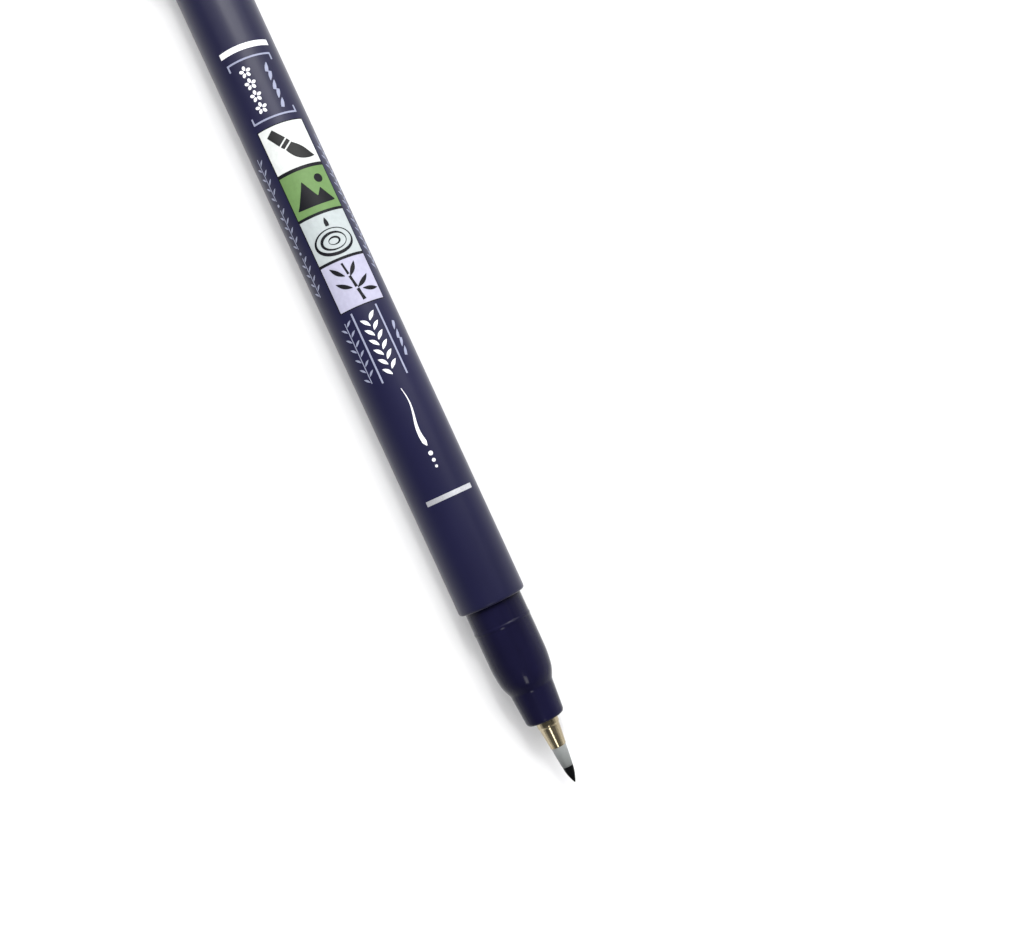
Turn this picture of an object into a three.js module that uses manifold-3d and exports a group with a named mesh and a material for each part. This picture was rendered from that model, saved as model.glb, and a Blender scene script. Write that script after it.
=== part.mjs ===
// Brush pen with a flexible felt nib, lying on its side with its cap pushed onto its tail.
//
// Millimetres. +X runs along the pen towards the nib's point, and +Z is up. The origin is the middle
// of the footprint, on the surface that the pen lies on.
//
// Places along the pen are stations: a station is how far a place is behind the nib's point.
// The round pieces are turned with flat sides, and a stated radius is the one to the flats, so the
// barrel and cap lie on a flat as wide as one side.

import * as THREE from 'three';
import { mergeVertices } from 'three/addons/utils/BufferGeometryUtils.js';
import Module from 'manifold-3d';

// Barrel and cap
const BODY_RADIUS = 4.9;
const BARREL_FRONT = 27.35;
const BARREL_REAR = 121.5;
const BARREL_BORE = 4.15;
const FLANGE_REAR = 122.3;
const TAIL_REAR = 129.5;
const PLUG_RADIUS = 4.1;
const CAP_LENGTH = 36.9;
const CAP_BORE = 4.25;
const CROWN_HEAD = 1.6;
const LINER_DEPTH = 11.6;
const LINER_LENGTH = 17.9;

// Grip section, nib and ink
const SECTION_RADIUS = 4.11;
const SECTION_REAR = 37;
const SHOULDER_STATION = 18.6;
const NOSE_REAR = 14.2;
const NOSE_FRONT = 9.76;
const FERRULE_MOUTH = 5.57;
const FERRULE_REAR = 13.5;
const FERRULE_COLLAR_RADIUS = 1.63;
const NIB_ROOT = 7.1;
const SLEEVE_FRONT = 2.51;
const SLEEVE_BORE = 0.45;
const FEED_RADIUS = 0.5;
const FEED_REAR = 27;
const HOLDER_FRONT = 8.9;
const HOLDER_REAR = 13;
const HOLDER_RADIUS = 1.24;
const STORE_FRONT = 21.4;
const STORE_REAR = 113;
const STORE_RADIUS = 3.4;
const FILM_THICKNESS = 0.1;

// Clip
const CLIP_OUTER = 8;
const CLIP_THICKNESS = 1.4;
const CLIP_WIDTH = 4;
const CLIP_LENGTH = 29.4;
const CLIP_ROOT_LENGTH = 1.7;
const CLIP_ROOT_WIDTH = 3.3;
const CLIP_ROOT_RADIUS = 4.5;
const CLIP_BUMP_RADIUS = 5.25;
const CLIP_FLOOR_CLEARANCE = 0.05;

// Fits
const PARTING = 0.05;
const MOVING_GAP = 0.3;
const FINE_GAP = 0.02;

// Turning
const SIDES = 24;
const SIDE_ANGLE = (2 * Math.PI) / SIDES;
const CORNER_SCALE = 1 / Math.cos(SIDE_ANGLE / 2);

// Worked out from the dimensions above
const CAP_MOUTH = FLANGE_REAR + PARTING;
const CAP_END = CAP_MOUTH + CAP_LENGTH;
const SHELL_REAR = CAP_END - CROWN_HEAD - PARTING;
const LINER_MOUTH = CAP_MOUTH + LINER_DEPTH;
const LINER_REAR = LINER_MOUTH + LINER_LENGTH;
const CLIP_REAR = SHELL_REAR - MOVING_GAP + PARTING;
const CLIP_FRONT = CLIP_REAR - CLIP_LENGTH;
const CLIP_INNER = CLIP_OUTER - CLIP_THICKNESS;

// The clip's turn from straight down, at which its lower edge just clears the surface.
const CLIP_TURN =
  Math.acos((BODY_RADIUS - CLIP_FLOOR_CLEARANCE) / Math.hypot(CLIP_OUTER, CLIP_WIDTH / 2)) +
  Math.atan2(CLIP_WIDTH / 2, CLIP_OUTER);
const CLIP_REACH = CLIP_OUTER * Math.sin(CLIP_TURN) + (CLIP_WIDTH / 2) * Math.cos(CLIP_TURN);

const wasm = await Module();
wasm.setup();

const FINISH = {
  barrel: { color: 0x1d1e3c, roughness: 0.45, metalness: 0 },
  section: { color: 0x14122b, roughness: 0.18, metalness: 0 },
  bronze: { color: 0x8f826b, roughness: 0.25, metalness: 1 },
  bush: { color: 0xe6e4dc, roughness: 0.5, metalness: 0 },
  sleeve: { color: 0x8c8e8d, roughness: 0.35, metalness: 0 },
  inkedFelt: { color: 0x08080a, roughness: 0.5, metalness: 0 },
  fibre: { color: 0x22222a, roughness: 0.9, metalness: 0 },
  film: { color: 0xd6d9dc, roughness: 0.2, metalness: 0 },
  liner: { color: 0xe9e9ea, roughness: 0.35, metalness: 0 },
};

// A piece turned about the pen's axis. The profile is a list of [station, radius] that runs from the
// rear along the outside to the front, and then back along the inside.
function turned(profile) {
  const points = profile.map(
    ([station, radius]) => new THREE.Vector2(radius * CORNER_SCALE, -station),
  );
  const geometry = new THREE.LatheGeometry(points, SIDES, SIDE_ANGLE / 2);
  geometry.rotateZ(-Math.PI / 2);
  return geometry;
}

// A plain tube between two stations.
function tube(rear, front, outerRadius, innerRadius) {
  return turned([
    [rear, outerRadius],
    [front, outerRadius],
    [front, innerRadius],
    [rear, innerRadius],
    [rear, outerRadius],
  ]);
}

// The [station, radius] points of a curve that leaves its first point towards the middle one.
function curved(first, middle, last, steps) {
  const corners = [first, middle, last].map(([station, radius]) => new THREE.Vector2(station, radius));
  const curve = new THREE.QuadraticBezierCurve(...corners);
  return curve.getPoints(steps).map((point) => [point.x, point.y]);
}

function piece(name, geometry, finish) {
  const mesh = new THREE.Mesh(geometry, new THREE.MeshStandardMaterial(finish));
  mesh.name = name;
  return mesh;
}

function toSolid(geometry) {
  const bare = new THREE.BufferGeometry().copy(geometry);
  bare.deleteAttribute('normal');
  bare.deleteAttribute('uv');
  const merged = mergeVertices(bare);
  return new wasm.Manifold(
    new wasm.Mesh({
      numProp: 3,
      vertProperties: new Float32Array(merged.attributes.position.array),
      triVerts: new Uint32Array(merged.index.array),
    }),
  );
}

function cutAway(geometry, cutter) {
  const mesh = toSolid(geometry).subtract(toSolid(cutter)).getMesh();
  const result = new THREE.BufferGeometry();
  result.setAttribute('position', new THREE.BufferAttribute(mesh.vertProperties, 3));
  result.setIndex(new THREE.BufferAttribute(mesh.triVerts, 1));
  result.computeVertexNormals();
  return result;
}

// The clip's own frame has +X towards the nib, +Y out from the pen's axis and +Z across the clip.
function turnToClip(object) {
  object.rotateX(-Math.PI / 2 - CLIP_TURN);
  return object;
}

function barrel() {
  const edge = 0.4;
  return piece(
    'barrel',
    turned([
      [BARREL_REAR, BODY_RADIUS],
      [BARREL_FRONT + edge, BODY_RADIUS],
      [BARREL_FRONT + edge * 0.3, BODY_RADIUS - edge * 0.3],
      [BARREL_FRONT, BODY_RADIUS - edge],
      [BARREL_FRONT, BARREL_BORE],
      [BARREL_REAR, BARREL_BORE],
      [BARREL_REAR, BODY_RADIUS],
    ]),
    FINISH.barrel,
  );
}

// The section plugs into the barrel, curves in to the edge of its shoulder, steps down to the nose,
// and holds the ferrule in the nose's bore. The ink store sits in its rear bore.
function gripSection() {
  const storeBore = STORE_RADIUS + FILM_THICKNESS + 0.1;
  const storeFloor = STORE_FRONT - 0.8;
  const feedBore = FEED_RADIUS + 0.2;
  const ferruleBore = FERRULE_COLLAR_RADIUS + 0.03;
  const ferruleStop = FERRULE_REAR + MOVING_GAP;
  const bead = { station: 24.1, height: 0.07, halfLength: 0.3 };
  const shoulderStart = [SHOULDER_STATION, SECTION_RADIUS];
  const shoulderEdge = [15.85, 3.74];
  const stepMiddle = [15.1, 3.38];
  const noseRadius = { rear: 3.13, front: 2.8 };
  return piece(
    'grip_section',
    turned([
      [SECTION_REAR, SECTION_RADIUS],
      [bead.station + bead.halfLength, SECTION_RADIUS],
      [bead.station, SECTION_RADIUS + bead.height],
      [bead.station - bead.halfLength, SECTION_RADIUS],
      ...curved(shoulderStart, [17.3, 4.03], shoulderEdge, 3),
      stepMiddle,
      [NOSE_REAR, noseRadius.rear],
      [NOSE_FRONT + 0.7, noseRadius.front],
      [NOSE_FRONT + 0.25, noseRadius.front - 0.15],
      [NOSE_FRONT, noseRadius.front - 0.4],
      [NOSE_FRONT, ferruleBore],
      [ferruleStop, ferruleBore],
      [ferruleStop, feedBore],
      [storeFloor, feedBore],
      [storeFloor, storeBore],
      [SECTION_REAR, storeBore],
      [SECTION_REAR, SECTION_RADIUS],
    ]),
    FINISH.section,
  );
}

// Drawn metal: a straight tail in the nose, a collar in front of it, and a cone down to the mouth.
function nibFerrule() {
  const wall = 0.16;
  const collarFront = 8.75;
  const tailRadius = FERRULE_COLLAR_RADIUS - 0.03;
  const coneRadius = FERRULE_COLLAR_RADIUS - 0.17;
  const mouthRadius = 1.14;
  return piece(
    'nib_ferrule',
    turned([
      [FERRULE_REAR, tailRadius],
      [NOSE_FRONT - 0.1, tailRadius],
      [NOSE_FRONT - 0.2, FERRULE_COLLAR_RADIUS],
      [collarFront, FERRULE_COLLAR_RADIUS - 0.02],
      [collarFront - 0.15, coneRadius],
      [FERRULE_MOUTH + 0.1, mouthRadius],
      [FERRULE_MOUTH, mouthRadius - 0.06],
      [FERRULE_MOUTH, mouthRadius - wall],
      [collarFront, coneRadius - wall],
      [FERRULE_REAR, coneRadius - wall],
      [FERRULE_REAR, tailRadius],
    ]),
    FINISH.bronze,
  );
}

function nibHolder() {
  const bore = FEED_RADIUS + 0.1;
  return piece('nib_holder', tube(HOLDER_REAR, HOLDER_FRONT, HOLDER_RADIUS, bore), FINISH.bush);
}

// The sleeve narrows to a neck inside the ferrule, so that the nib can bend at the mouth.
function nibSleeve() {
  const neckRadius = 0.65;
  const rear = [FERRULE_MOUTH - MOVING_GAP, 1.06];
  const front = [SLEEVE_FRONT, 0.76];
  return piece(
    'nib_sleeve',
    turned([
      [NIB_ROOT, neckRadius],
      [FERRULE_MOUTH + 0.05, neckRadius],
      ...curved(rear, [4, 0.98], front, 3),
      [SLEEVE_FRONT, SLEEVE_BORE],
      [NIB_ROOT, SLEEVE_BORE],
      [NIB_ROOT, neckRadius],
    ]),
    FINISH.sleeve,
  );
}

// The felt fills the sleeve's bore and widens in front of it to a rounded point.
function nibCore() {
  const stem = SLEEVE_BORE - FINE_GAP;
  const tipRear = [SLEEVE_FRONT - FINE_GAP, 0.74];
  const tipFront = [0.12, 0.1];
  return piece(
    'nib_core',
    turned([
      [NIB_ROOT, 0],
      [NIB_ROOT, stem],
      [SLEEVE_FRONT - FINE_GAP, stem],
      ...curved(tipRear, [1.3, 0.64], tipFront, 4),
      [0, 0],
    ]),
    FINISH.inkedFelt,
  );
}

function feedRod() {
  const front = NIB_ROOT + MOVING_GAP;
  return piece(
    'feed_rod',
    turned([
      [FEED_REAR, 0],
      [FEED_REAR, FEED_RADIUS],
      [front, FEED_RADIUS],
      [front, 0],
    ]),
    FINISH.inkedFelt,
  );
}

function inkReservoir() {
  const socket = FEED_RADIUS + PARTING;
  return piece(
    'ink_reservoir',
    turned([
      [STORE_REAR, 0],
      [STORE_REAR, STORE_RADIUS],
      [STORE_FRONT, STORE_RADIUS],
      [STORE_FRONT, socket],
      [FEED_REAR + PARTING, socket],
      [FEED_REAR + PARTING, 0],
    ]),
    FINISH.fibre,
  );
}

function reservoirFilm() {
  const inside = STORE_RADIUS + FINE_GAP;
  return piece(
    'reservoir_film',
    tube(STORE_REAR, STORE_FRONT, inside + FILM_THICKNESS, inside),
    FINISH.film,
  );
}

// A hollow plug: a spigot in the barrel, a flange against its rear edge, and the boss for the cap.
function tailPlug() {
  const spigotFront = 114;
  const wall = 1;
  const bead = { station: 125.6, height: 0.1, halfLength: 0.5 };
  return piece(
    'tail_plug',
    turned([
      [TAIL_REAR, 0],
      [TAIL_REAR, PLUG_RADIUS - 0.5],
      [TAIL_REAR - 0.5, PLUG_RADIUS],
      [bead.station + bead.halfLength, PLUG_RADIUS],
      [bead.station, PLUG_RADIUS + bead.height],
      [bead.station - bead.halfLength, PLUG_RADIUS],
      [FLANGE_REAR, PLUG_RADIUS],
      [FLANGE_REAR, BODY_RADIUS],
      [BARREL_REAR + PARTING, BODY_RADIUS],
      [BARREL_REAR + PARTING, PLUG_RADIUS],
      [spigotFront, PLUG_RADIUS],
      [spigotFront, PLUG_RADIUS - wall],
      [TAIL_REAR - wall, PLUG_RADIUS - wall],
      [TAIL_REAR - wall, 0],
    ]),
    FINISH.barrel,
  );
}

// The shell is open at both ends, and notched at the rear for the clip's root.
function capShell() {
  const lip = 0.25;
  const shell = turned([
    [SHELL_REAR, BODY_RADIUS],
    [CAP_MOUTH + lip, BODY_RADIUS],
    [CAP_MOUTH, BODY_RADIUS - lip * 0.6],
    [CAP_MOUTH, CAP_BORE],
    [SHELL_REAR, CAP_BORE],
    [SHELL_REAR, BODY_RADIUS],
  ]);
  const notchFloor = CLIP_REAR - CLIP_ROOT_LENGTH - MOVING_GAP;
  const notchLength = SHELL_REAR - notchFloor + 1;
  const notchDepth = 3;
  const notch = new THREE.BoxGeometry(notchLength, notchDepth, CLIP_ROOT_WIDTH + 2 * MOVING_GAP);
  notch.translate(-notchFloor - notchLength / 2, BODY_RADIUS, 0);
  return piece('cap_shell', cutAway(shell, turnToClip(notch)), FINISH.barrel);
}

// The liner is the inner cap that closes round the section's shoulder and keeps the nib wet.
function capLiner() {
  const outer = CAP_BORE - 0.1;
  const inner = 3.4;
  const endWall = 1;
  return piece(
    'cap_liner',
    turned([
      [LINER_REAR, 0],
      [LINER_REAR, outer],
      [LINER_MOUTH, outer],
      [LINER_MOUTH, inner + 0.4],
      [LINER_MOUTH + 0.85, inner],
      [LINER_REAR - endWall, inner],
      [LINER_REAR - endWall, 0],
    ]),
    FINISH.liner,
  );
}

function capCrown() {
  const spigotRadius = CAP_BORE - PARTING;
  const spigotLength = 4.7;
  const wall = 0.9;
  const headFront = CAP_END - CROWN_HEAD;
  return piece(
    'cap_crown',
    turned([
      [CAP_END, 0],
      [CAP_END, BODY_RADIUS - 0.4],
      [CAP_END - 0.4, BODY_RADIUS],
      [headFront, BODY_RADIUS],
      [headFront, spigotRadius],
      [headFront - spigotLength, spigotRadius],
      [headFront - spigotLength, spigotRadius - wall],
      [headFront, spigotRadius - wall],
      [headFront, 0],
    ]),
    FINISH.barrel,
  );
}

// The clip's side view: a root that drops through the shell's notch, a straight arm, and a rounded
// bump at its free end.
function clipOutline() {
  const rear = -CLIP_REAR;
  const rootFront = rear + CLIP_ROOT_LENGTH;
  const front = -CLIP_FRONT;
  const heel = 0.7;
  const toe = 1.3;
  const bumpRear = front - 3.4;
  const outline = new THREE.Shape();
  outline.moveTo(rear, CLIP_ROOT_RADIUS);
  outline.lineTo(rootFront, CLIP_ROOT_RADIUS);
  outline.lineTo(rootFront, CLIP_INNER - heel);
  outline.quadraticCurveTo(rootFront, CLIP_INNER, rootFront + heel, CLIP_INNER);
  outline.lineTo(bumpRear, CLIP_INNER);
  outline.quadraticCurveTo(bumpRear + 0.9, CLIP_BUMP_RADIUS, bumpRear + 1.9, CLIP_BUMP_RADIUS);
  outline.quadraticCurveTo(front, CLIP_BUMP_RADIUS, front, CLIP_OUTER - toe);
  outline.quadraticCurveTo(front, CLIP_OUTER, front - toe, CLIP_OUTER);
  outline.lineTo(rear + heel, CLIP_OUTER);
  outline.quadraticCurveTo(rear, CLIP_OUTER, rear, CLIP_OUTER - heel);
  outline.closePath();
  return outline;
}

function capClip() {
  const arm = new THREE.ExtrudeGeometry(clipOutline(), {
    depth: CLIP_WIDTH,
    bevelEnabled: false,
    curveSegments: 4,
  });
  arm.translate(0, 0, -CLIP_WIDTH / 2);
  const trimWidth = (CLIP_WIDTH - CLIP_ROOT_WIDTH) / 2;
  const trimLength = CLIP_ROOT_LENGTH * 3;
  const trimTop = BODY_RADIUS + 2 * MOVING_GAP;
  const trimmed = [-1, 1].reduce((geometry, side) => {
    const trim = new THREE.BoxGeometry(trimLength, trimTop, trimWidth * 2);
    trim.translate(-CLIP_REAR, trimTop / 2, (side * CLIP_WIDTH) / 2);
    return cutAway(geometry, trim);
  }, arm);
  return piece('cap_clip', trimmed, FINISH.barrel);
}

const onAxis = new THREE.Group();
onAxis.add(
  barrel(),
  gripSection(),
  nibFerrule(),
  nibHolder(),
  nibSleeve(),
  nibCore(),
  feedRod(),
  inkReservoir(),
  reservoirFilm(),
  tailPlug(),
  capShell(),
  capLiner(),
  capCrown(),
  turnToClip(capClip()),
);
onAxis.position.set(CAP_END / 2, (CLIP_REACH - BODY_RADIUS) / 2, BODY_RADIUS);

const brushPen = new THREE.Group();
brushPen.add(onAxis);

export default brushPen;
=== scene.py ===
"""Brush pen lying on a pale sheet, cap on its tail: the looks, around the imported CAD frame."""

import math

import bmesh
import bpy
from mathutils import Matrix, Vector


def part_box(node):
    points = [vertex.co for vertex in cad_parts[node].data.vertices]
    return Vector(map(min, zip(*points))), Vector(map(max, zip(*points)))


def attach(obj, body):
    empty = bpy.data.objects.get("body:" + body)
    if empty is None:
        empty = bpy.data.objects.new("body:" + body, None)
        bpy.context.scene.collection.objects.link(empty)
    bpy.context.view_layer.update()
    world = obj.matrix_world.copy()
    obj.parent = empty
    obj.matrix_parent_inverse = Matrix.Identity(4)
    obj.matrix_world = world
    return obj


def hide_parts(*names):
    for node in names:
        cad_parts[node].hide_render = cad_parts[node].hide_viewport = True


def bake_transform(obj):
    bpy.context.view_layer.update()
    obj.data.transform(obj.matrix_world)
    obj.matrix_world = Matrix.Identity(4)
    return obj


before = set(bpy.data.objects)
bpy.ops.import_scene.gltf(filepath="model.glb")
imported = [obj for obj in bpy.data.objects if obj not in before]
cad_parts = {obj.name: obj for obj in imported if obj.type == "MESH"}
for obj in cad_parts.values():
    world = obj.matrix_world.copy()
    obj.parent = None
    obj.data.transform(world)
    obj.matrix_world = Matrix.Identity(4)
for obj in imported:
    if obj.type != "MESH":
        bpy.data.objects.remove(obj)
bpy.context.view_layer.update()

MM = 0.001

# ---------------------------------------------------------------- places, from the frame

BARREL_LOW, BARREL_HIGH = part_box("barrel")
TIP_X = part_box("nib_core")[1].x
AXIS_Y = (BARREL_LOW.y + BARREL_HIGH.y) / 2
AXIS_Z = (BARREL_LOW.z + BARREL_HIGH.z) / 2
FLOOR_Z = BARREL_LOW.z


def low_station(node):
    """How far the front end of a CAD node is behind the nib's point, in millimetres."""
    return (TIP_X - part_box(node)[1].x) / MM


def high_station(node):
    """How far the rear end of a CAD node is behind the nib's point, in millimetres."""
    return (TIP_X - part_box(node)[0].x) / MM


BODY_RADIUS = (BARREL_HIGH.z - BARREL_LOW.z) / 2 / MM
BARREL_FRONT = low_station("barrel")
BARREL_REAR = high_station("barrel")
BARREL_BORE = 4.15
SECTION_RADIUS = 4.11
SECTION_REAR = high_station("grip_section")
NOSE_FRONT = low_station("grip_section")
FERRULE_REAR = high_station("nib_ferrule")
FERRULE_MOUTH = low_station("nib_ferrule")
SLEEVE_FRONT = low_station("nib_sleeve")
NIB_ROOT = high_station("nib_sleeve")
PLUG_RADIUS = 4.1
PLUG_FRONT = low_station("tail_plug")
TAIL_REAR = high_station("tail_plug")
CAP_MOUTH = low_station("cap_shell")
SHELL_REAR = high_station("cap_shell")
CAP_BORE = 4.25
CAP_END = high_station("cap_crown")
CROWN_FRONT = low_station("cap_crown")
LINER_MOUTH = low_station("cap_liner")
LINER_REAR = high_station("cap_liner")
CLIP_REAR = high_station("cap_clip")
CLIP_FRONT = low_station("cap_clip")

# ---------------------------------------------------------------- camera

CAMERA_BEHIND_TIP = 43.57
CAMERA_BESIDE_AXIS = 10.39
CAMERA_ABOVE_AXIS = 164.9
CAMERA_TURN = 65.285
CAMERA_LENS = 42.2


def make_camera():
    """Looks straight down, turned so that the pen runs down the picture from upper left."""
    data = bpy.data.cameras.new("camera")
    data.lens = CAMERA_LENS
    data.sensor_width = 36
    data.clip_start = 0.005
    data.clip_end = 20
    camera = bpy.data.objects.new("camera", data)
    camera.location = (
        TIP_X - CAMERA_BEHIND_TIP * MM,
        AXIS_Y + CAMERA_BESIDE_AXIS * MM,
        AXIS_Z + CAMERA_ABOVE_AXIS * MM,
    )
    camera.rotation_euler = (0, 0, math.radians(CAMERA_TURN))
    bpy.context.scene.collection.objects.link(camera)
    bpy.context.scene.camera = camera


# ---------------------------------------------------------------- materials


def colour(red, green, blue):
    """A colour given as 0 to 255 display values, as the linear colour that a shader takes."""
    def linear(value):
        share = value / 255
        return share / 12.92 if share <= 0.04045 else ((share + 0.055) / 1.055) ** 2.4

    return (linear(red), linear(green), linear(blue), 1)


class Surface:
    """A node material around one Principled shader, with helpers that link varying inputs to it."""

    def __init__(self, name, base, roughness, metallic=0.0, ior=1.5):
        self.material = bpy.data.materials.new(name)
        self.material.use_nodes = True
        self.nodes = self.material.node_tree.nodes
        self.links = self.material.node_tree.links
        self.shader = self.nodes["Principled BSDF"]
        self.set("Base Color", base)
        self.set("Roughness", roughness)
        self.set("Metallic", metallic)
        self.set("IOR", ior)

    def set(self, socket, value):
        self.shader.inputs[socket].default_value = value

    def noise(self, scale, detail=3.0, stretch=(1, 1, 1), roughness=0.55):
        """Noise over the piece's own coordinates. The scale is in features per metre."""
        place = self.nodes.new("ShaderNodeTexCoord")
        mapping = self.nodes.new("ShaderNodeMapping")
        mapping.inputs["Scale"].default_value = stretch
        texture = self.nodes.new("ShaderNodeTexNoise")
        texture.inputs["Scale"].default_value = scale
        texture.inputs["Detail"].default_value = detail
        texture.inputs["Roughness"].default_value = roughness
        self.links.new(place.outputs["Object"], mapping.inputs["Vector"])
        self.links.new(mapping.outputs["Vector"], texture.inputs["Vector"])
        return texture.outputs["Fac"]

    def along(self, front, rear):
        """A factor that runs from 0 at one station to 1 at another, further back."""
        place = self.nodes.new("ShaderNodeTexCoord")
        split = self.nodes.new("ShaderNodeSeparateXYZ")
        self.links.new(place.outputs["Object"], split.inputs["Vector"])
        return self.spread(split.outputs["X"], 0, 1, TIP_X - front * MM, TIP_X - rear * MM)

    def blend_factors(self, first, second, share):
        """The first factor with that share of the second."""
        node = self.nodes.new("ShaderNodeMix")
        node.inputs["Factor"].default_value = share
        self.links.new(first, node.inputs["A"])
        self.links.new(second, node.inputs["B"])
        return node.outputs["Result"]

    def ramp(self, factor, *stops):
        """A colour ramp with stops of (position, colour)."""
        node = self.nodes.new("ShaderNodeValToRGB")
        elements = node.color_ramp.elements
        while len(elements) < len(stops):
            elements.new(0.5)
        for element, (position, value) in zip(elements, stops):
            element.position = position
            element.color = value
        self.links.new(factor, node.inputs["Fac"])
        return node.outputs["Color"]

    def spread(self, factor, low, high, start=0.3, end=0.7):
        """Maps a factor to the range low to high."""
        node = self.nodes.new("ShaderNodeMapRange")
        node.inputs["From Min"].default_value = start
        node.inputs["From Max"].default_value = end
        node.inputs["To Min"].default_value = low
        node.inputs["To Max"].default_value = high
        self.links.new(factor, node.inputs["Value"])
        return node.outputs["Result"]

    def vary(self, socket, output):
        self.links.new(output, self.shader.inputs[socket])

    def mottle(self, noise, darker, lighter):
        """A base colour that runs between two close ones with that noise."""
        self.vary("Base Color", self.ramp(noise, (0.3, darker), (0.7, lighter)))

    def bump(self, height, strength, depth):
        """Bumps of that depth, in metres."""
        node = self.nodes.new("ShaderNodeBump")
        node.inputs["Strength"].default_value = strength
        node.inputs["Distance"].default_value = depth
        previous = self.shader.inputs["Normal"]
        if previous.is_linked:
            self.links.new(previous.links[0].from_socket, node.inputs["Normal"])
        self.links.new(height, node.inputs["Height"])
        self.links.new(node.outputs["Normal"], previous)


def satin_navy():
    """Fine spark-eroded texture on navy plastic, rubbed a little smoother in places."""
    surface = Surface("satin_navy", colour(25, 25, 52), 0.34)
    surface.set("Specular IOR Level", 0.19)
    tone = surface.noise(90, stretch=(0.25, 1, 1))
    surface.mottle(tone, colour(22, 22, 46), colour(28, 28, 57))
    rub = surface.noise(260, detail=5, stretch=(0.35, 1, 1))
    surface.vary("Roughness", surface.spread(rub, 0.3, 0.36))
    surface.bump(surface.noise(9000, detail=2), 0.25, 0.00001)
    surface.bump(surface.noise(150, detail=1, stretch=(0.15, 1, 1)), 0.12, 0.00004)
    return surface.material


def gloss_navy():
    """Polished dark navy with the faint draw marks and hairlines of handled plastic."""
    surface = Surface("gloss_navy", colour(19, 18, 40), 0.14)
    surface.set("Specular IOR Level", 0.1)
    tone = surface.noise(300, stretch=(0.3, 1, 1))
    surface.mottle(tone, colour(17, 16, 36), colour(21, 20, 44))
    haze = surface.noise(900, detail=5, stretch=(0.2, 1, 1))
    surface.vary("Roughness", surface.spread(haze, 0.1, 0.17))
    surface.bump(surface.noise(500, detail=1, stretch=(0.12, 1, 1)), 0.1, 0.00002)
    return surface.material


def bronze_metal():
    """Drawn bronze-coloured plating, with fine draw lines from end to end."""
    surface = Surface("bronze_metal", colour(164, 152, 124), 0.15, metallic=0.9)
    tone = surface.noise(900, stretch=(0.3, 1, 1))
    surface.mottle(tone, colour(146, 134, 108), colour(180, 168, 140))
    surface.vary("Roughness", surface.spread(surface.noise(2500, detail=4), 0.12, 0.18))
    surface.bump(surface.noise(6000, detail=2, stretch=(0.03, 1, 1)), 0.05, 0.000004)
    return surface.material


def grey_elastomer():
    """Smoky elastomer, its base colour painted darker towards the front."""
    surface = Surface("grey_elastomer", colour(120, 123, 122), 0.36, ior=1.43)
    surface.set("Specular IOR Level", 0.3)
    # The base colour is painted darker towards the front, from the ferrule's mouth to the sleeve's front
    # end.
    depth = surface.along(SLEEVE_FRONT - 0.6, FERRULE_MOUTH)
    cloud = surface.blend_factors(depth, surface.noise(1500, stretch=(0.5, 1, 1)), 0.25)
    stops = ((0.1, colour(84, 87, 86)), (0.5, colour(112, 115, 114)), (0.9, colour(130, 133, 132)))
    surface.vary("Base Color", surface.ramp(cloud, *stops))
    surface.set("Subsurface Weight", 0.5)
    surface.set("Subsurface Radius", (1.0, 1.0, 1.0))
    surface.set("Subsurface Scale", 0.0004)
    surface.vary("Roughness", surface.spread(surface.noise(3000), 0.28, 0.42))
    return surface.material


def inked_felt():
    """Felt soaked in black ink, with its fibres running from end to end."""
    surface = Surface("inked_felt", colour(5, 5, 6), 0.5)
    surface.set("Specular IOR Level", 0.05)
    grain = surface.noise(5000, detail=4, stretch=(0.18, 1, 1))
    surface.mottle(grain, colour(2, 2, 3), colour(9, 9, 11))
    surface.vary("Roughness", surface.spread(grain, 0.34, 0.55))
    surface.bump(grain, 0.35, 0.00002)
    return surface.material


def fibre():
    """Bundled fibre that holds the ink, streaked along its length."""
    surface = Surface("ink_fibre", colour(34, 34, 42), 0.85)
    strand = surface.noise(4000, detail=4, stretch=(0.03, 1, 1))
    surface.mottle(strand, colour(16, 16, 22), colour(60, 60, 72))
    surface.bump(strand, 0.5, 0.00008)
    return surface.material


def white_moulding():
    """Off-white moulded plastic, slightly uneven in tone and gloss."""
    surface = Surface("white_moulding", colour(232, 232, 228), 0.42)
    tone = surface.noise(400)
    surface.mottle(tone, colour(224, 224, 219), colour(238, 238, 235))
    surface.vary("Roughness", surface.spread(surface.noise(1500), 0.36, 0.5))
    surface.set("Subsurface Weight", 0.15)
    surface.set("Subsurface Scale", 0.0005)
    return surface.material


def clear_film():
    """Thin see-through film with long creases."""
    surface = Surface("clear_film", colour(214, 218, 222), 0.12, ior=1.5)
    surface.set("Alpha", 0.35)
    crease = surface.noise(300, detail=4, stretch=(0.2, 1, 1))
    surface.vary("Roughness", surface.spread(crease, 0.08, 0.25))
    surface.bump(crease, 0.3, 0.00005)
    return surface.material


def print_ink(name, base, roughness=0.42):
    """A printed colour: thin ink with a slightly uneven lay."""
    surface = Surface(name, base, roughness)
    surface.set("Specular IOR Level", 0.15)
    lay = surface.noise(1800, detail=4)
    darker = tuple(part * 0.93 for part in base[:3]) + (1,)
    lighter = tuple(min(1, part * 1.04) for part in base[:3]) + (1,)
    surface.mottle(lay, darker, lighter)
    surface.vary("Roughness", surface.spread(surface.noise(5000), roughness - 0.06, roughness + 0.08))
    return surface.material


def silver_ink():
    """Silver ink with fine metal flakes."""
    surface = Surface("silver_ink", colour(176, 177, 181), 0.35, metallic=0.4)
    flake = surface.noise(9000, detail=3)
    surface.mottle(flake, colour(160, 161, 168), colour(192, 193, 196))
    surface.vary("Roughness", surface.spread(flake, 0.28, 0.45))
    return surface.material


# ---------------------------------------------------------------- mesh helpers


def on_axis(station, radius, angle):
    """A point round the pen's axis. The angle is from the top towards +Y."""
    return Vector((
        TIP_X - station * MM,
        AXIS_Y + radius * MM * math.sin(angle),
        AXIS_Z + radius * MM * math.cos(angle),
    ))


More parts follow.
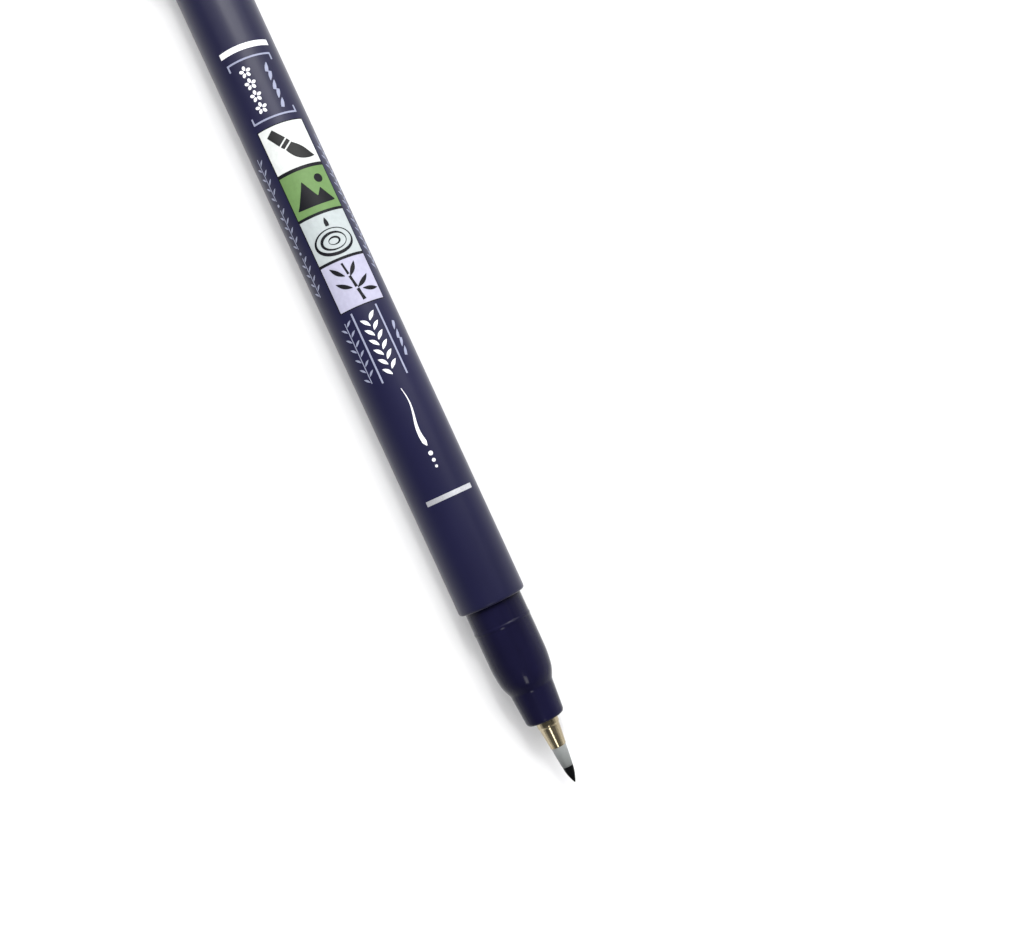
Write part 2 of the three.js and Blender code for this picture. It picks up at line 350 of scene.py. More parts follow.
def make_object(name, vertices, faces, material, sharp=35):
    mesh = bpy.data.meshes.new(name)
    mesh.from_pydata([tuple(v) for v in vertices], [], faces)
    mesh.validate()
    mesh.shade_smooth()
    mesh.set_sharp_from_angle(angle=math.radians(sharp))
    mesh.materials.append(material)
    obj = bpy.data.objects.new(name, mesh)
    bpy.context.scene.collection.objects.link(obj)
    return obj


def soften(corners, steps=6):
    """Rounds a profile. Each corner is (station, radius) or (station, radius, cut), where cut is how
    far from the corner its rounding starts."""
    path = []
    for index, corner in enumerate(corners):
        point = Vector(corner[:2])
        cut = corner[2] if len(corner) > 2 else 0
        if not cut or index in (0, len(corners) - 1):
            path.append(point)
            continue
        before = Vector(corners[index - 1][:2]) - point
        after = Vector(corners[index + 1][:2]) - point
        start = point + before.normalized() * min(cut, before.length * 0.49)
        end = point + after.normalized() * min(cut, after.length * 0.49)
        for step in range(steps + 1):
            t = step / steps
            path.append(start * (1 - t) ** 2 + point * 2 * t * (1 - t) + end * t ** 2)
    return path


def turned(name, corners, material, segments=128):
    """A solid turned about the pen's axis, from a profile that runs from the rear along the outside
    to the front and back along the inside. It starts and ends on the axis, or closes on itself."""
    path = soften(corners)
    closes = (path[0] - path[-1]).length < 1e-6
    if closes:
        path.pop()
    vertices, rings = [], []
    for station, radius in path:
        count = 1 if radius < 1e-6 else segments
        rings.append(range(len(vertices), len(vertices) + count))
        vertices += [on_axis(station, radius, 2 * math.pi * k / segments) for k in range(count)]
    faces = []
    pairs = list(zip(rings, rings[1:]))
    if closes:
        pairs.append((rings[-1], rings[0]))
    for first, second in pairs:
        for k in range(segments):
            after = (k + 1) % segments
            quad = [
                first[k % len(first)],
                second[k % len(second)],
                second[after % len(second)],
                first[after % len(first)],
            ]
            faces.append(list(dict.fromkeys(quad)))
    return make_object(name, vertices, faces, material)


def stand_for(piece, node, body):
    """Puts a piece in a CAD node's place on its body."""
    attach(piece, body)
    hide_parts(node)


# ---------------------------------------------------------------- pen body


def barrel(material):
    piece = turned(
        "barrel_tube",
        [
            (BARREL_REAR, BODY_RADIUS - 0.6),
            (BARREL_REAR, BODY_RADIUS, 0.12),
            (BARREL_FRONT, BODY_RADIUS, 0.5),
            (BARREL_FRONT, BARREL_BORE, 0.08),
            (BARREL_REAR, BARREL_BORE, 0.08),
            (BARREL_REAR, BODY_RADIUS - 0.6),
        ],
        material,
    )
    stand_for(piece, "barrel", "pen")


def grip_section(material):
    store_bore = 3.6
    store_floor = 20.6
    feed_bore = 0.7
    ferrule_bore = 1.66
    ferrule_floor = FERRULE_REAR + 0.3
    bead = 24.1
    piece = turned(
        "grip_section_gloss",
        [
            (SECTION_REAR, 3.8),
            (SECTION_REAR, SECTION_RADIUS, 0.2),
            (bead + 0.3, SECTION_RADIUS, 0.1),
            (bead + 0.1, SECTION_RADIUS + 0.06, 0.08),
            (bead - 0.1, SECTION_RADIUS + 0.06, 0.08),
            (bead - 0.3, SECTION_RADIUS, 0.1),
            (18.3, SECTION_RADIUS, 1.2),
            (16.3, 3.86, 0.7),
            (15.5, 3.62, 0.35),
            (14.45, 3.14, 0.22),
            (NOSE_FRONT + 0.3, 2.8, 0.15),
            (NOSE_FRONT, 2.62, 0.12),
            (NOSE_FRONT, ferrule_bore, 0.06),
            (ferrule_floor, ferrule_bore),
            (ferrule_floor, feed_bore),
            (store_floor, feed_bore),
            (store_floor, store_bore),
            (SECTION_REAR, store_bore, 0.05),
            (SECTION_REAR, 3.8),
        ],
        material,
    )
    stand_for(piece, "grip_section", "pen")


def tail_plug(material):
    wall = 1.0
    flange_rear = CAP_MOUTH - 0.05
    flange_front = BARREL_REAR + 0.05
    bead = 125.6
    piece = turned(
        "tail_plug_boss",
        [
            (TAIL_REAR, 0),
            (TAIL_REAR, PLUG_RADIUS, 0.6),
            (bead + 0.6, PLUG_RADIUS, 0.2),
            (bead, PLUG_RADIUS + 0.1, 0.3),
            (bead - 0.6, PLUG_RADIUS, 0.2),
            (flange_rear, PLUG_RADIUS, 0.1),
            (flange_rear, BODY_RADIUS, 0.1),
            (flange_front, BODY_RADIUS, 0.1),
            (flange_front, PLUG_RADIUS),
            (PLUG_FRONT, PLUG_RADIUS, 0.3),
            (PLUG_FRONT, PLUG_RADIUS - wall, 0.1),
            (TAIL_REAR - wall, PLUG_RADIUS - wall, 0.3),
            (TAIL_REAR - wall, 0),
        ],
        material,
    )
    stand_for(piece, "tail_plug", "pen")


# ---------------------------------------------------------------- nib and ink


def nib_ferrule(material):
    wall = 0.16
    collar = 1.61
    cone = 1.49
    cone_rear = 8.6
    mouth = 1.14
    piece = turned(
        "nib_ferrule_metal",
        [
            (FERRULE_REAR, collar - 0.06),
            (FERRULE_REAR, collar, 0.04),
            (cone_rear + 0.25, collar, 0.1),
            (cone_rear, cone, 0.12),
            (FERRULE_MOUTH, mouth, 0.08),
            (FERRULE_MOUTH, mouth - wall, 0.05),
            (cone_rear, cone - wall, 0.1),
            (FERRULE_REAR, cone - wall, 0.02),
            (FERRULE_REAR, collar - 0.06),
        ],
        material,
        segments=96,
    )
    stand_for(piece, "nib_ferrule", "pen")


def bend_at_mouth(piece):
    """Bakes a nib piece's place into its mesh, without bending it."""
    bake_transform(piece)


def nib_sleeve(material):
    bore = 0.45
    neck = 0.94
    piece = turned(
        "nib_sleeve_soft",
        [
            (NIB_ROOT, 0.6),
            (NIB_ROOT, neck, 0.1),
            (FERRULE_MOUTH + 0.1, neck, 0.1),
            (FERRULE_MOUTH - 0.12, 1.07, 0.15),
            (4.4, 0.99, 0.6),
            (3.4, 0.87, 0.5),
            (SLEEVE_FRONT, 0.755, 0.06),
            (SLEEVE_FRONT, bore),
            (NIB_ROOT, bore),
            (NIB_ROOT, 0.6),
        ],
        material,
        segments=96,
    )
    bend_at_mouth(piece)
    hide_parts("nib_sleeve")


def nib_core(material):
    stem = 0.43
    point_rear = SLEEVE_FRONT - 0.02
    piece = turned(
        "nib_core_felt",
        [
            (NIB_ROOT, 0),
            (NIB_ROOT, stem),
            (point_rear, stem),
            (point_rear, 0.745, 0.05),
            (1.86, 0.67, 0.4),
            (1.03, 0.46, 0.4),
            (0.25, 0.15, 0.2),
            (0, 0),
        ],
        material,
        segments=96,
    )
    bend_at_mouth(piece)
    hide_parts("nib_core")


def tube(name, node, outer, seam, inner, material, cuts=(0, 0), segments=96):
    """A plain tube of a CAD node's length. Its profile starts and ends on the rear face, at the seam's
    radius. Cuts are how far its outer and inner edges are rounded."""
    front, rear = low_station(node), high_station(node)
    outer_cut, inner_cut = cuts
    corners = [
        (rear, seam),
        (rear, outer, outer_cut),
        (front, outer, outer_cut),
        (front, inner, inner_cut),
        (rear, inner, inner_cut),
        (rear, seam),
    ]
    return turned(name, corners, material, segments)


def ink_parts(bush_material, felt_material, fibre_material, film_material):
    feed_radius = 0.5
    feed_socket = 0.55
    store_radius = 3.4
    feed_front, feed_rear = low_station("feed_rod"), high_station("feed_rod")
    store_front, store_rear = low_station("ink_reservoir"), high_station("ink_reservoir")
    socket_end = feed_rear + 0.05
    holder = tube("nib_holder_bush", "nib_holder", 1.24, 0.9, 0.6, bush_material, (0.15, 0.05), 64)
    feed = turned(
        "feed_rod_wick",
        [(feed_rear, 0), (feed_rear, feed_radius, 0.1), (feed_front, feed_radius, 0.1), (feed_front, 0)],
        felt_material,
        segments=48,
    )
    store = turned(
        "ink_reservoir_fibre",
        [
            (store_rear, 0),
            (store_rear, store_radius, 0.3),
            (store_front, store_radius, 0.3),
            (store_front, feed_socket),
            (socket_end, feed_socket),
            (socket_end, 0),
        ],
        fibre_material,
        segments=96,
    )
    film = tube("reservoir_film_wrap", "ink_reservoir", 3.52, 3.47, 3.42, film_material)
    stand_for(holder, "nib_holder", "pen")
    stand_for(feed, "feed_rod", "pen")
    stand_for(store, "ink_reservoir", "pen")
    stand_for(film, "reservoir_film", "pen")


# ---------------------------------------------------------------- cap

CLIP_OUTER = 8.0
CLIP_WIDTH = 4.0
CLIP_NARROWING = 0.14
CLIP_THICKNESS = 1.4
CLIP_ROOT_LENGTH = 1.7
CLIP_ROOT_WIDTH = 3.3
CLIP_ROOT_RADIUS = 4.5
CLIP_BUMP_RADIUS = 5.25
CLIP_FLOOR_CLEARANCE = 0.05
MOVING_GAP = 0.3

# The clip's turn from straight down, at which its lower edge just clears the floor.
CLIP_TURN = math.atan2(CLIP_WIDTH / 2, CLIP_OUTER) + math.acos(
    (BODY_RADIUS - CLIP_FLOOR_CLEARANCE) / math.hypot(CLIP_OUTER, CLIP_WIDTH / 2)
)


def beside_clip(station, out, across):
    """A point in the clip's own frame: how far out from the axis, and how far across the clip."""
    outward = Vector((0, -math.sin(CLIP_TURN), -math.cos(CLIP_TURN)))
    sideways = Vector((0, math.cos(CLIP_TURN), -math.sin(CLIP_TURN)))
    return on_axis(station, 0, 0) + outward * out * MM + sideways * across * MM


def apply_modifiers(obj, sharp=35):
    """Makes the modifiers' result the object's own mesh."""
    graph = bpy.context.evaluated_depsgraph_get()
    mesh = bpy.data.meshes.new_from_object(obj.evaluated_get(graph))
    obj.modifiers.clear()
    obj.data = mesh
    mesh.shade_smooth()
    mesh.set_sharp_from_angle(angle=math.radians(sharp))


def cap_shell(material):
    piece = turned(
        "cap_shell_tube",
        [
            (SHELL_REAR, BODY_RADIUS - 0.3),
            (SHELL_REAR, BODY_RADIUS, 0.1),
            (CAP_MOUTH, BODY_RADIUS, 0.22),
            (CAP_MOUTH, CAP_BORE, 0.15),
            (SHELL_REAR, CAP_BORE, 0.05),
            (SHELL_REAR, BODY_RADIUS - 0.3),
        ],
        material,
    )
    floor_station = CLIP_REAR - CLIP_ROOT_LENGTH - MOVING_GAP
    half = CLIP_ROOT_WIDTH / 2 + MOVING_GAP
    corners = [
        beside_clip(station, out, across)
        for station in (floor_station, SHELL_REAR + 1)
        for out in (CAP_BORE - 1, BODY_RADIUS + 1)
        for across in (-half, half)
    ]
    sides = [(2, 3, 1, 0), (5, 7, 6, 4), (1, 5, 4, 0), (6, 7, 3, 2), (4, 6, 2, 0), (3, 7, 5, 1)]
    cutter = make_object("notch", corners, sides, material)
    modifier = piece.modifiers.new("notch", "BOOLEAN")
    modifier.operation = "DIFFERENCE"
    modifier.solver = "EXACT"
    modifier.object = cutter
    apply_modifiers(piece)
    bpy.data.objects.remove(cutter)
    stand_for(piece, "cap_shell", "cap")


def cap_crown(material):
    spigot = CAP_BORE - 0.05
    wall = 0.9
    head = SHELL_REAR + 0.05
    piece = turned(
        "cap_crown_plug",
        [
            (CAP_END, 0),
            (CAP_END, BODY_RADIUS, 0.55),
            (head, BODY_RADIUS, 0.1),
            (head, spigot),
            (CROWN_FRONT, spigot, 0.3),
            (CROWN_FRONT, spigot - wall, 0.1),
            (head, spigot - wall),
            (head, 0),
        ],
        material,
    )
    stand_for(piece, "cap_crown", "cap")


def cap_liner(material):
    outer = CAP_BORE - 0.1
    inner = 3.4
    piece = turned(
        "cap_liner_cup",
        [
            (LINER_REAR, 0),
            (LINER_REAR, outer, 0.3),
            (LINER_MOUTH, outer, 0.1),
            (LINER_MOUTH, inner + 0.4, 0.06),
            (LINER_MOUTH + 0.85, inner, 0.3),
            (LINER_REAR - 1, inner, 0.5),
            (LINER_REAR - 1, 0),
        ],
        material,
        segments=96,
    )
    stand_for(piece, "cap_liner", "cap")


def clip_outline():
    """The clip's side view as (station, out) points: root, arm and the bump at its free end."""
    rear = CLIP_REAR
    root_front = rear - CLIP_ROOT_LENGTH
    inner = CLIP_OUTER - CLIP_THICKNESS
    bump_rear = CLIP_FRONT + 3.4
    return soften(
        [
            (rear, (CLIP_ROOT_RADIUS + CLIP_OUTER) / 2),
            (rear, CLIP_ROOT_RADIUS, 0.2),
            (root_front, CLIP_ROOT_RADIUS, 0.2),
            (root_front, inner, 0.7),
            (bump_rear, inner, 0.9),
            (bump_rear - 1.1, CLIP_BUMP_RADIUS, 0.8),
            (CLIP_FRONT, CLIP_BUMP_RADIUS, 1.3),
            (CLIP_FRONT, CLIP_OUTER, 1.5),
            (rear, CLIP_OUTER, 1.0),
            (rear, (CLIP_ROOT_RADIUS + CLIP_OUTER) / 2),
        ],
        steps=8,
    )[:-1]


def cap_clip(material):
    """The arm narrows towards its free end, and its root is narrower where it enters the cap."""
    outline = clip_outline()

    def half_width(station, out):
        along = (CLIP_REAR - station) / (CLIP_REAR - CLIP_FRONT)
        arm = CLIP_WIDTH / 2 * (1 - CLIP_NARROWING * along)
        if out > BODY_RADIUS + 2 * MOVING_GAP or along > 0.5:
            return arm
        return CLIP_ROOT_WIDTH / 2

    count = len(outline)
    vertices = [
        beside_clip(station, out, side * half_width(station, out))
        for side in (-1, 1)
        for station, out in outline
    ]
    faces = [list(range(count))[::-1], list(range(count, 2 * count))]
    for k in range(count):
        after = (k + 1) % count
        faces.append([k, after, count + after, count + k])
    piece = make_object("cap_clip_arm", vertices, faces, material)
    bevel = piece.modifiers.new("edges", "BEVEL")
    bevel.width = 0.28 * MM
    bevel.segments = 5
    bevel.limit_method = "ANGLE"
    bevel.angle_limit = math.radians(50)
    apply_modifiers(piece)
    stand_for(piece, "cap_clip", "clip")


# ---------------------------------------------------------------- print

# The ink's underside is just inside the barrel's wall, and wide strokes are divided into strips that
# follow its curve.
INK_UNDER = -0.02
INK_CELL = 0.3
LEAST_LINE = 0.03


class Printing:
    """One piece of thin raised ink on the barrel. Places are (station, arc), where arc is the distance
    round the barrel from its top towards +Y, in millimetres."""

    def __init__(self, name, material, height):
        self.name = name
        self.material = material
        self.height = height
        self.vertices = []
        self.faces = []

    def sheet(self, rows, loop=False):
        """A closed sheet of ink over rows of places, with as many places in each row. On a loop the
        last row meets the first."""
        base, tall, wide = len(self.vertices), len(rows), len(rows[0])
        for height in (self.height, INK_UNDER):
            for row in rows:
                self.vertices += [
                    on_axis(station, BODY_RADIUS + height, arc / BODY_RADIUS) for station, arc in row
                ]
        under = tall * wide

        def at(row, column):
            return base + row % tall * wide + column

        for row in range(tall if loop else tall - 1):
            for column in range(wide - 1):
                beside = column + 1
                cell = [at(row, column), at(row + 1, column), at(row + 1, beside), at(row, beside)]
                self.faces += [cell, [under + corner for corner in reversed(cell)]]
        near = [at(row, 0) for row in range(tall)]
        far = [at(row, wide - 1) for row in range(tall)]
        if loop:
            rims = [near, far]
        else:
            first = [at(0, column) for column in range(1, wide - 1)]
            last = [at(tall - 1, column) for column in range(1, wide - 1)]
            rims = [near + last + far[::-1] + first[::-1]]
        for rim in rims:
            for here, after in zip(rim, rim[1:] + rim[:1]):
                self.faces.append([here, after, under + after, under + here])

    def block(self, front, rear, arc_low, arc_high, steps=24):
        """A rectangle bent round the barrel."""
        arcs = [arc_low + (arc_high - arc_low) * k / steps for k in range(steps + 1)]
        self.sheet([[(front, arc), (rear, arc)] for arc in arcs])

    def trail(self, places, widths, loop=False):
        """A brush trail along a dense row of places, with its width at each of them."""
        cells = max(1, math.ceil(max(widths) / INK_CELL))
        ways = [(after - here).normalized() for here, after in zip(places, places[1:] + places[:1])]
        last = len(places) - 1
        rows = []
        for k, (place, width) in enumerate(zip(places, widths)):
            before = ways[k - 1] if loop or k > 0 else ways[0]
            after = ways[k] if loop or k < last else ways[last - 1]
            along = before + after
            half = Vector((-along.y, along.x)).normalized() * max(width, LEAST_LINE) / 2
            rows.append([place + half * (1 - 2 * j / cells) for j in range(cells + 1)])
        self.sheet(rows, loop)

    def stroke(self, points, width, taper=(1.0, 1.0), swell=0.0, steps=14):
        """A trail along the Bezier curve through these control points. The width at its two ends is
        scaled by taper, and its middle is wider by swell."""
        shares = [k / steps for k in range(steps + 1)]
        widths = [
            width * (taper[0] * (1 - t) + taper[1] * t + swell * math.sin(math.pi * t)) for t in shares
        ]
        self.trail([curve_point(points, t) for t in shares], widths)

    def leaf(self, root, angle, length, width, bend=0.0):
        """A pointed leaf from its root. The angle is from the rear towards +Y."""
        along = Vector((math.cos(angle), math.sin(angle))) * length
        side = Vector((-along.y, along.x)) * bend
        self.stroke([root, root + along * 0.5 + side, root + along], width, (0.15, 0.05), 0.9, steps=10)

    def finish(self):
        piece = make_object(self.name, self.vertices, self.faces, self.material, sharp=30)
        turn_outwards(piece.data)
        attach(piece, "pen")


def turn_outwards(mesh):
    """Turns each closed part's faces outwards."""
    work = bmesh.new()
    work.from_mesh(mesh)
    bmesh.ops.recalc_face_normals(work, faces=work.faces)
    work.to_mesh(mesh)
    work.free()


def curve_point(points, t):
    """The place at t on the Bezier curve with these control points."""
    layer = [Vector(p) for p in points]
    while len(layer) > 1:
        layer = [a.lerp(b, t) for a, b in zip(layer, layer[1:])]
    return layer[0]


def arc_at(degrees):
    """The distance round the barrel at an angle from its top."""
    return math.radians(degrees) * BODY_RADIUS


PANEL_LOW = arc_at(-24)
PANEL_HIGH = arc_at(54.8)
PANEL_MIDDLE = (PANEL_LOW + PANEL_HIGH) / 2
PANELS = {
    "lavender": (71.2, 77.7),
    "mist": (78.1, 84.4),
    "green": (84.8, 90.9),
    "white": (91.4, 97.7),
}
PANEL_BORDER = 0.15

# How far each layer of ink stands above the barrel.
FRAME_INK = 0.008
PANEL_INK = 0.016
LINE_INK = 0.014
PICTURE_INK = 0.026


def panels(inks):
    """Four coloured panels on a black ground that shows as a thin border round each."""
    frame_ink = Printing("print_panel_frame", inks["black"], FRAME_INK)
    frame_ink.block(
        PANELS["lavender"][0] - PANEL_BORDER,
        PANELS["white"][1] + PANEL_BORDER,
        PANEL_LOW - PANEL_BORDER,
        PANEL_HIGH + PANEL_BORDER,
    )
    frame_ink.finish()
    for name, (front, rear) in PANELS.items():
        panel = Printing("print_panel_" + name, inks[name], PANEL_INK)
        panel.block(front, rear, PANEL_LOW, PANEL_HIGH)
        panel.finish()


def bamboo_picture(inks):
    """A leaning bamboo stem in three lengths, with leaves off both sides."""
    ink = Printing("print_picture_bamboo", inks["black"], PICTURE_INK)
    foot = Vector((71.7, PANEL_MIDDLE + 0.5))
    step = Vector((1.95, -0.32))
    for length in range(3):
        start = foot + step * length
        ink.stroke([start, start + step * 0.86], 0.46 - 0.07 * length, (1.15, 1.0), -0.15, steps=6)
    for root, angle, size in (
        ((73.5, 0.3), 0.95, 2.5),
        ((73.7, -0.4), -1.0, 2.3),
        ((75.3, 0.0), 0.62, 2.2),
        ((75.5, -0.7), -0.75, 2.3),
        ((73.2, 0.9), 1.75, 2.3),
    ):
        place = Vector((root[0], PANEL_MIDDLE + root[1]))
        ink.leaf(place, angle, size, 0.62, 0.08 * math.copysign(1, angle))
    ink.finish()


def ripple_picture(inks):
    """A drop that falls on water, with three closed rings round where it lands."""
    ink = Printing("print_picture_ripples", inks["black"], PICTURE_INK)
    middle = Vector((80.45, PANEL_MIDDLE))
    steps = 48
    angles = [2 * math.pi * k / steps for k in range(steps)]
    for reach, width, turn in ((0.5, 0.2, 0.5), (1.15, 0.26, 2.6), (1.75, 0.3, 4.4)):
        places = [middle + Vector((math.cos(a), 1.5 * math.sin(a))) * reach for a in angles]
        ink.trail(places, [width * (1 + 0.55 * math.sin(a + turn)) for a in angles], loop=True)
    top = middle + Vector((3.4, 0))
    ink.stroke([top, top - Vector((1.25, 0))], 0.62, (0.05, 0.8), 0.45, steps=16)
    ink.finish()


def hill_picture(inks):
    """Two hills and a round sun, as filled shapes."""
    ink = Printing("print_picture_hills", inks["black"], PICTURE_INK)
    foot = 85.9
    peaks = ((-0.75, 3.3, 2.0), (1.35, 1.9, 1.5))
    half_range = 2.75
    steepness = 1.25
    steps = 56
    rows = []
    for k in range(steps + 1):
        across = half_range * (2 * k / steps - 1)
        rise = max(
            height * max(0, 1 - abs(across - peak) / reach) ** steepness for peak, height, reach in peaks
        )
        rim = 0.16 * math.sqrt(max(0, 1 - (across / half_range) ** 2)) + LEAST_LINE
        rows.append([(foot - rim, PANEL_MIDDLE + across), (foot + rim + rise, PANEL_MIDDLE + across)])
    ink.sheet(rows)
    dot(ink, 89.2, PANEL_MIDDLE + 1.7, 1.25)
    ink.finish()


def brush_picture(inks):
    """A full brush tip, a bound heel and a short handle."""
    ink = Printing("print_picture_brush", inks["charcoal"], PICTURE_INK)
    point = Vector((92.4, PANEL_MIDDLE + 2.75))
    belly = Vector((92.9, PANEL_MIDDLE + 0.9))
    heel = Vector((94.5, PANEL_MIDDLE - 0.25))
    lean = (heel - belly).normalized()
    ink.stroke([point, belly, heel], 1.65, (0.02, 0.85), 0.62, steps=36)
    band = heel + lean * 0.2
    ink.stroke([band, band + lean * 0.55], 1.42, (1.0, 1.08), steps=4)
    handle = band + lean * 0.75
    ink.stroke([handle, handle + lean * 2.0], 1.5, (1.0, 0.85), steps=10)
    ink.finish()


def bracket(ink, station, lip, width):
    """A bracket round the barrel, in one line with mitred corners."""
    low, high = arc_at(-25) + width / 2, arc_at(52) - width / 2
    steps = 24
    bar = [Vector((station, low + (high - low) * k / steps)) for k in range(steps + 1)]
    end = Vector((lip, 0))
    widths = [width] * len(bar)
    widths[0] = widths[-1] = width * math.sqrt(2)
    ink.trail([bar[0] + end, *bar, bar[-1] + end], [width, *widths, width])


def rules(inks, silver):
    """The plain lines round the barrel, the brackets, and the two long thin lines."""
    front = Printing("print_front_line", silver, LINE_INK)
    front.block(42.85, 43.55, arc_at(-27.4), arc_at(57.7))
    front.finish()
    white = Printing("print_rear_line", inks["bright"], LINE_INK)
    white.block(108.7, 109.5, arc_at(-29), arc_at(57.7))
    white.finish()
    pale = Printing("print_brackets", inks["pale"], LINE_INK)
    width = 0.24
    bracket(pale, 98.9, 0.9, width)
    bracket(pale, 107.5, -0.9, width)
    for angle in (-8.7, 34.1):
        pale.block(60.4, 70.6, arc_at(angle) - width / 2, arc_at(angle) + width / 2, steps=2)
    pale.finish()


def plait(ink, front, count, pitch, arc_middle, size):
    """Two rows of bold leaves that lean together like an ear of grain."""
    for k in range(count):
        for side in (-1, 1):
            root = Vector((front + (k + 0.25 * (side + 1)) * pitch, arc_middle + side * 0.12))
            ink.leaf(root, side * 0.75, size, 0.34 * size, -0.12 * side)


def vine(ink, front, rear, arc_middle, size, pitch):
    """A thin straight stem with slanting leaves off both sides, a little apart from it."""
    ink.block(front, rear, arc_middle - 0.06 * size, arc_middle + 0.06 * size, steps=2)
    count = int((rear - front) / pitch)
    for k in range(count):
        for side in (-1, 1):
            station = front + (k + 0.15 + 0.25 * (side + 1)) * pitch
            root = Vector((station, arc_middle + side * 0.16 * size))
            ink.leaf(root, side * 0.85, size, 0.28 * size, -0.1 * side)


def blossom(ink, station, arc, size):
    """Five petals round a point."""
    middle, petals = Vector((station, arc)), 5
    for petal in range(petals):
        angle = 2 * math.pi * petal / petals
        toward = Vector((math.cos(angle), math.sin(angle))) * size
        ends = [middle + toward * 0.24, middle + toward]
        ink.stroke(ends, size * 0.36, (0.5, 0.7), 0.95, steps=8)


def drops(ink, front, count, pitch, arc_middle, size):
    """A row of ink drops, every second one turned round."""
    for k in range(count):
        way = 1 if k % 2 else -1
        middle = Vector((front + k * pitch, arc_middle))
        reach = Vector((0.5, 0.18)) * size * way
        ink.stroke([middle - reach, middle + reach], size * 0.42, (0.08, 0.75), 0.45, steps=8)


def line_sample(ink):
    """What the nib draws: a line that swells from fine to broad, and three dots."""
    middle = arc_at(13.5)
    steps = 40
    shares = [k / steps for k in range(steps + 1)]
    places = [Vector((58.8 - 8.4 * t, middle + 0.28 * math.sin(2 * math.pi * t))) for t in shares]
    ink.trail(places, [0.08 + 0.62 * t ** 1.5 * min(1, 14 * (1 - t)) for t in shares])
    for station, size in ((49.3, 0.62), (48.3, 0.5), (47.4, 0.38)):
        dot(ink, station, middle, size)


def dot(ink, station, arc, size):
    """A round dot as a short trail whose width follows a circle."""
    steps = 12
    angles = [math.pi * k / steps for k in range(steps + 1)]
    places = [Vector((station - size / 2 * math.cos(angle), arc)) for angle in angles]
    ink.trail(places, [size * math.sin(angle) for angle in angles])


def ornaments(inks):
    """Plain brush ornaments with no meaning, the bold ones in white ink and the fine ones in pale ink."""
    bold = Printing("print_ornaments_bold", inks["bright"], LINE_INK)
    plait(bold, 61.0, 6, 1.42, arc_at(12.7), 1.5)
    for station in (100.55, 102.3, 104.05, 105.8):
        blossom(bold, station, arc_at(-1), 0.8)
    line_sample(bold)
    bold.finish()

    fine = Printing("print_ornaments_fine", inks["pale"], LINE_INK)
    vine(fine, 61.0, 69.8, arc_at(-25.5), 1.05, 1.45)
    drops(fine, 63.4, 4, 1.25, arc_at(50), 1.25)
    drops(fine, 100.4, 5, 1.3, arc_at(34), 1.3)
    for front, rear in ((74.6, 80.4), (81.7, 87.5), (88.8, 95.0)):
        vine(fine, front, rear, arc_at(-48.5), 0.95, 1.4)
    for station in (81.05, 88.15):
        dot(fine, station, arc_at(-48.5), 0.4)
    vine(fine, 75.4, 95.6, arc_at(74), 0.85, 1.35)
    fine.finish()


# ---------------------------------------------------------------- setting

ROOM_LEVEL = 1.4

# The room's brightness by how far up it is: walls that are pale low down, and a dim ceiling.
ROOM_SHADES = ((0.0, 0.72), (0.12, 0.6), (0.32, 0.42), (0.55, 0.06))

# Each light's name, direction from the pen's middle, distance, size (across, high) and power.
LIGHTS = (
    ("window", (-0.66, 0.27, 0.70), 4.0, (9.6, 4.0), 360),
    ("window_core", (-0.61, 0.37, 0.73), 3.9, (3.0, 2.0), 128),
    ("glint", (-0.61, 0.22, 0.75), 3.8, (0.32, 0.2), 32),
    ("strip", (0.588, -0.06, 0.809), 4.0, (0.8, 1.36), 26),
)


def paper():
    """White paper with a faint uneven tone and tooth."""
    surface = Surface("paper", colour(231, 231, 231), 0.75)
    tone = surface.noise(30, detail=4)
    surface.mottle(tone, colour(230, 230, 231), colour(233, 233, 233))
    surface.bump(surface.noise(1500, detail=3), 0.05, 0.0001)
    return surface.material


def make_floor():
    """A round sheet, so that its far edge is one level line from every side."""
    reach, sides = 1.0, 144
    angles = [2 * math.pi * k / sides for k in range(sides)]
    rim = [(reach * math.cos(angle), reach * math.sin(angle), FLOOR_Z) for angle in angles]
    floor = make_object("floor", rim, [tuple(range(sides))], paper())


def area_light(name, toward, distance, size, power):
    """A soft light in that direction from the pen's middle, facing it."""
    data = bpy.data.lights.new(name, "AREA")
    data.shape = "RECTANGLE"
    data.size, data.size_y = size
    data.energy = power
    light = bpy.data.objects.new(name, data)
    direction = Vector(toward).normalized()
    light.location = Vector((0, AXIS_Y, AXIS_Z)) + direction * distance
    light.rotation_euler = direction.to_track_quat("Z", "Y").to_euler()
    bpy.context.scene.collection.objects.link(light)


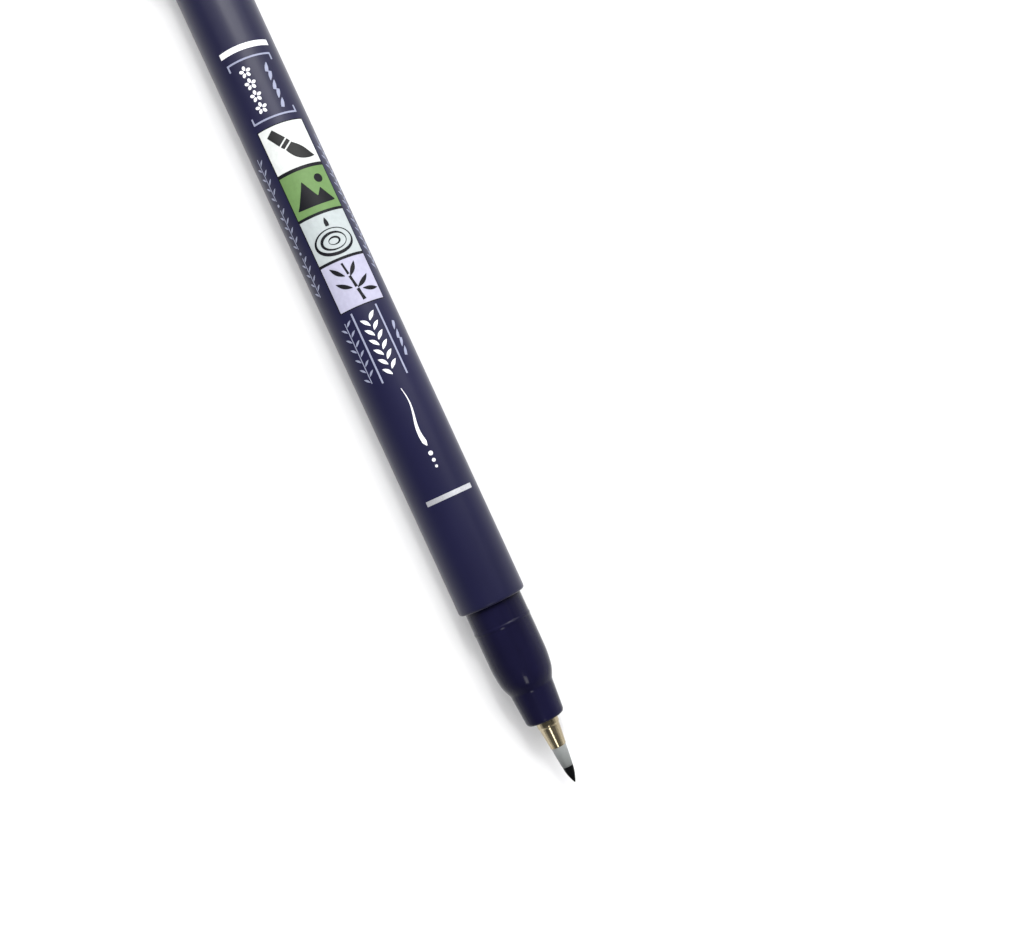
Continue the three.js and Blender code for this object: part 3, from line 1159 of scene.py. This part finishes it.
def make_light():
    """A wide window beyond the pen's tail with a brighter middle and a small bright pane, a strip in
    front of the nib, and a dim room with pale walls low down."""
    world = bpy.data.worlds.new("room")
    bpy.context.scene.world = world
    world.use_nodes = True
    nodes, links = world.node_tree.nodes, world.node_tree.links
    place = nodes.new("ShaderNodeTexCoord")
    split = nodes.new("ShaderNodeSeparateXYZ")
    ramp = nodes.new("ShaderNodeValToRGB")
    stops = ramp.color_ramp.elements
    while len(stops) < len(ROOM_SHADES):
        stops.new(0.5)
    for stop, (position, level) in zip(stops, ROOM_SHADES):
        stop.position = position
        stop.color = (level, level, level * 1.03, 1)
    links.new(place.outputs["Generated"], split.inputs["Vector"])
    links.new(split.outputs["Z"], ramp.inputs["Fac"])
    links.new(ramp.outputs["Color"], nodes["Background"].inputs["Color"])
    nodes["Background"].inputs["Strength"].default_value = ROOM_LEVEL
    for light in LIGHTS:
        area_light(*light)
    bpy.context.scene.view_settings.view_transform = "Standard"


# ---------------------------------------------------------------- the pen

make_camera()
satin, gloss = satin_navy(), gloss_navy()
felt, moulding = inked_felt(), white_moulding()
barrel(satin)
grip_section(gloss)
tail_plug(satin)
nib_ferrule(bronze_metal())
nib_sleeve(grey_elastomer())
nib_core(felt)
ink_parts(moulding, felt, fibre(), clear_film())
cap_shell(satin)
cap_crown(satin)
cap_liner(moulding)
cap_clip(satin)

INKS = {
    "black": print_ink("ink_black", colour(10, 10, 17)),
    "charcoal": print_ink("ink_charcoal", colour(34, 34, 35)),
    "lavender": print_ink("ink_lavender", colour(163, 162, 182)),
    "mist": print_ink("ink_mist", colour(165, 172, 173)),
    "green": print_ink("ink_green", colour(97, 127, 77)),
    "white": print_ink("ink_white", colour(200, 203, 201)),
    "bright": print_ink("ink_bright", colour(226, 227, 231)),
    "pale": print_ink("ink_pale", colour(140, 144, 166)),
}
panels(INKS)
bamboo_picture(INKS)
ripple_picture(INKS)
hill_picture(INKS)
brush_picture(INKS)
rules(INKS, silver_ink())
ornaments(INKS)

make_floor()
make_light()
